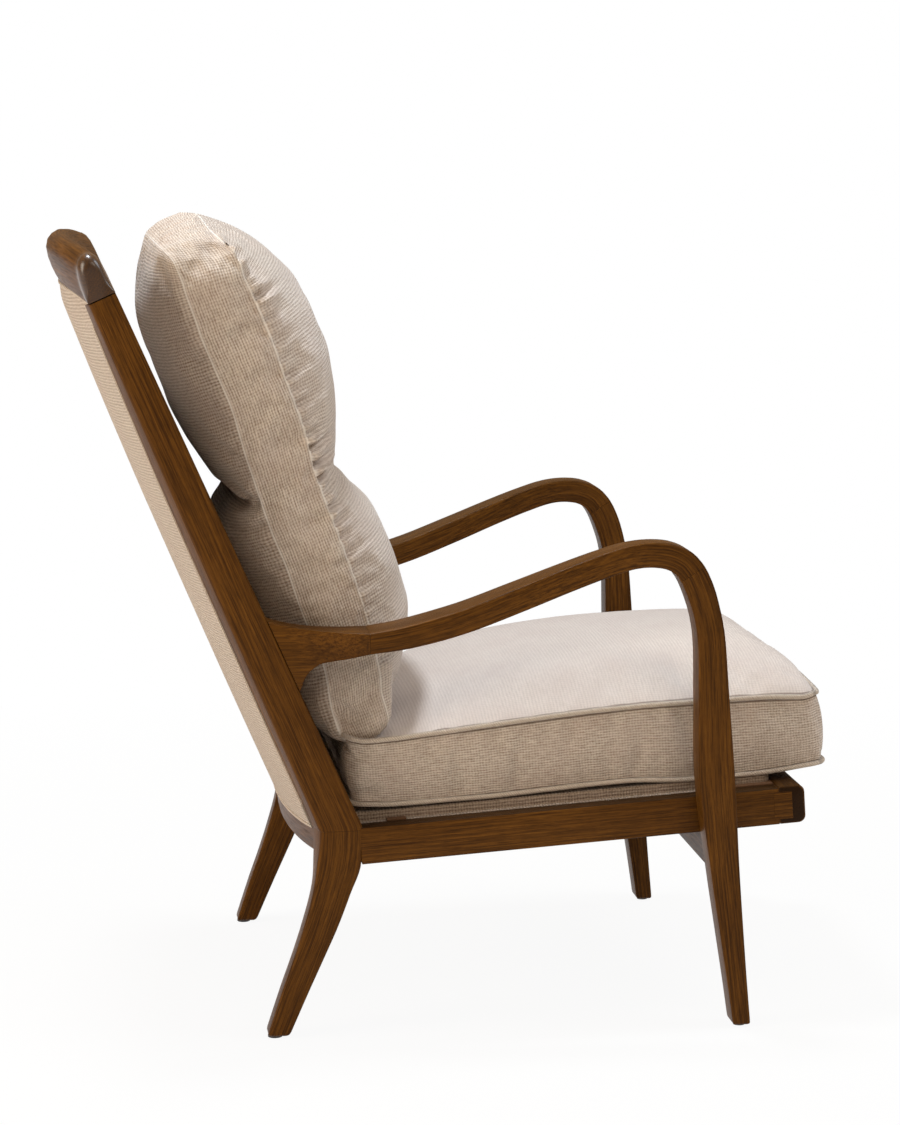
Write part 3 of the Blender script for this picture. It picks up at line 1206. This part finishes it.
def back_relief(cushion, panel_place, band_place, panel_seam, band_seam):
    """Puckers square to the seams, folds that run into the waist, and soft dents."""
    shifts = []
    start = np.array([0, JOINT_Y, KNEE])
    for grid, seam, pinch, pull, seed in (
        (cushion.first, panel_seam[0], FRONT_PINCH, 1.6 * MM, 31),
        (cushion.second, panel_seam[1], REAR_PINCH, 1.2 * MM, 41),
    ):
        up, across = (grid - start) @ BACK_AXES[2], grid[..., 0]
        side = np.abs(across) / BACK_HALF_WIDTH
        along = np.where(side > 0.84, up + 0.3 * (seam - 0.02), across)
        folds = ripple(across / 0.1 + 9, up / 0.0125 + np.abs(across) * 6, seed + 3) * bell(up - pinch, 0.045)
        folds = folds * (0.3 + 0.7 * fade(side, 0.35, 0.92)) * fade(seam, 0, 0.012)
        crumple = fade(up, 0.64, 0.7) * fade(side, 0.6, 0.95)
        corner = ripple(across / 0.018, up / 0.013, seed + 4) * crumple * fade(seam, 0, 0.012)
        dents = ripple(across / 0.07, up / 0.045, seed + 5) * fade(seam, 0.01, 0.05)
        near = fade(seam, 0, 0.005) * np.exp(-seam / 0.02)
        shift = puckers(along, seed) * near * pull + (folds * 6 + corner + dents * 2.4) * MM
        if pinch == FRONT_PINCH:
            height = up + 5 * MM * (across > 0)
            for place, depth, width, reach in np.array(FRONT_PUCKERS) * MM:
                at = (height - place) / width  # a furrow, with a high lip below it and a low one above
                fold = bell(at + 1.5, 1) * 0.8 + bell(at - 1.9, 1) * 0.4 - bell(at, 1)
                near = fade(seam, 0, 0.004) * np.exp(-((seam / (PUCKER_REACH * reach)) ** 1.5)) * (side > 0.5)
                shift += PUCKER_DEPTH * depth * fold * near
        shifts.append(shift)
    band = cushion.band
    up = (band - start) @ BACK_AXES[2]
    share = np.linspace(0, 1, len(band))[:, None]
    sides = fade(np.abs(band[..., 0]), 0.2, 0.24)
    along = np.where(sides > 0.5, up, band[..., 0])
    near = fade(band_seam, 0, 0.005) * np.exp(-band_seam / 0.014) * fade(share, 0.6, 0.4)
    wide = ripple(share * 2.2 + along / 0.09, along / 0.034, 51)
    fine = ripple(share * 4 + 7, along / 0.015, 52) * fade(share, 0.75, 0.3)
    shift = puckers(along, 31) * near * 1.6 * MM + (wide * 2.5 + fine * 1.6) * MM * fade(band_seam, 0, 0.015)
    for place, column, depth, height in np.array(BAND_DENTS) * [MM, 1, MM, MM]:
        spread = 2.6 * height / 0.1  # the band is about 100 mm wide
        shift -= depth * sides * bell(up - place, height) * bell(share - column, spread)
    crease = bell(up - REAR_PINCH + 8 * MM, 9 * MM) * fade(share, 0.7, 1) * sides
    return shifts + [shift - crease * 3 * MM]


def back_cushion():
    table = np.array(BACK_CUSHION_SHAPE, float)
    table[:, :5] *= MM
    foot, top = table[0, 0], table[-1, 0]
    u, share = np.meshgrid(np.linspace(-1, 1, 56), np.linspace(0, 1, 76))
    side = np.abs(u)
    up = foot + share * (top - foot)
    rear_face, rear_seam, front_seam, front_face, half = [smooth_read(table, up, k) for k in range(1, 6)]
    drop = side**2.5 * fade(up, ARCH_START, top)
    up = up - CORNER_DROP * side**16 * fade(up, SHOULDER, top)
    x = u * half * BACK_HALF_WIDTH
    boxy = fade(up, BOXY_TOP, BOXY_FOOT)
    swell = (1 - side ** (2.6 + 2.4 * boxy)) ** (0.6 - 0.1 * boxy)
    front_seam = front_seam + FRONT_CORNER * side**5 * fade(up, SHOULDER, top)
    front = back_point(x, -(front_seam + (front_face - front_seam) * swell), up - FRONT_ARCH * drop)
    rear = back_point(x, -(rear_seam + (rear_face - rear_seam) * swell), up - REAR_ARCH * drop)
    v = border_of(2 * share - 1)
    corner = np.clip(v, 0, 1) ** 10 * border_of(side) ** 6
    bulge = (2 + 4 * fade(np.abs(v), 0.93, 1) - 6 * corner) * MM
    cushion = BoxCushion(front, rear, outward(border_of(front), -BACK_AXES[1]), bulge)
    cushion.fill(6 * MM, 5 * MM, pressure=1.0, slack=0.015, bending=0.6)
    cushion.refine(3)
    cushion.finish("back_cushion", TWEED, back_relief, 0.15)


back_posts()
rear_legs()
arms_and_front_legs()
arm_brackets()
top_rail()
rear_seat_rail()
front_rail()
rails_and_stretcher()
back_upholstery()
seat_deck()
seat_straps()
seat_cushion()
back_cushion()

# Stage, light and camera

FLOOR_SIZE = 40
FLOOR_COLOUR = (0.78, 0.74, 0.69, 1)
WORLD_COLOUR, WORLD_LEVEL = (1.0, 0.84, 0.67, 1), 0.3
WHITE = (1, 1, 1, 1)


def floor():
    """A pale floor that the camera sees as white, but for the soft shadow near the chair."""
    mesh = bpy.data.meshes.new("floor")
    h = FLOOR_SIZE / 2
    mesh.from_pydata([(-h, -h, 0), (h, -h, 0), (h, h, 0), (-h, h, 0)], [], [(0, 1, 2, 3)])
    n = material("pale_floor")
    n.put({"Base Color": FLOOR_COLOUR, "Roughness": 1.0, "Specular IOR Level": 0.0})
    place = n.add("TexCoord").outputs["Object"]
    reach = n.add("VectorMath", {0: place}, operation="LENGTH").outputs["Value"]
    white = n.add("Emission", {"Color": WHITE, "Strength": 1.0})
    rays = "Is Glossy Ray", "Is Transmission Ray"
    n.show_white(white, rays, "Material Output", n.remap(reach, 0.4, 2.0, 0.93, 1.0))
    mesh.materials.append(n.owner)
    link("floor", mesh)


def world():
    """Dim and slightly warm to the chair, plain white to the camera."""
    n = Nodes(bpy.data.worlds.new("studio"), "Background")
    bpy.context.scene.world = n.owner
    n.put({"Color": WORLD_COLOUR, "Strength": WORLD_LEVEL})
    white = n.add("Background", {"Color": WHITE, "Strength": 1.0})
    n.show_white(white, ["Is Transmission Ray"], "World Output")


def lamp(name, place, target, size, watts, tint):
    data = bpy.data.lights.new(name, "AREA")
    data.shape = "DISK"
    data.size, data.energy, data.color = size, watts, tint
    light = link(name, data)
    light.location = place
    light.rotation_mode = "QUATERNION"
    light.rotation_quaternion = (Vector(target) - Vector(place)).to_track_quat("-Z", "Y")


def camera():
    """The photograph's viewpoint: place, three turns and focal length in pixels of its 1125 rows."""
    focal, rows = 3200, 1125
    place = Vector((-4.1446, JOINT_Y + 0.3966, 1.1721))
    yaw, pitch, roll = math.radians(7.571), math.radians(8.468), math.radians(-0.346)
    ahead = Vector((math.cos(yaw) * math.cos(pitch), -math.sin(yaw) * math.cos(pitch), -math.sin(pitch)))
    level = ahead.cross(Vector((0, 0, 1))).normalized()
    upright = level.cross(ahead)
    right = level * math.cos(roll) + upright * math.sin(roll)
    up = upright * math.cos(roll) - level * math.sin(roll)
    data = bpy.data.cameras.new("camera")
    data.sensor_width = 36
    data.lens = focal / rows * data.sensor_width
    data.clip_start, data.clip_end = 0.1, 100
    view = link("camera", data)
    view.matrix_world = Matrix.Translation(place) @ Matrix((right, up, -ahead)).transposed().to_4x4()
    bpy.context.scene.camera = view


floor()
world()
COOL, WARM = (0.8, 0.9, 1.0), (1.0, 0.9, 0.76)
lamp("key", (-0.6, -2.2, 3.4), (0, 0, 0.5), 1.4, 52, COOL)
lamp("top", (0.3, 0.6, 3.7), (0, 0, 0.5), 0.6, 88, COOL)
lamp("fill", (-3.2, -0.9, 3.1), (0, 0, 0.5), 1.6, 26, WARM)
lamp("rear", (-1.2, 3.3, 1.8), (0, 0.2, 0.6), 1.8, 74, WARM)
camera()
bpy.context.scene.view_settings.view_transform = "Standard"
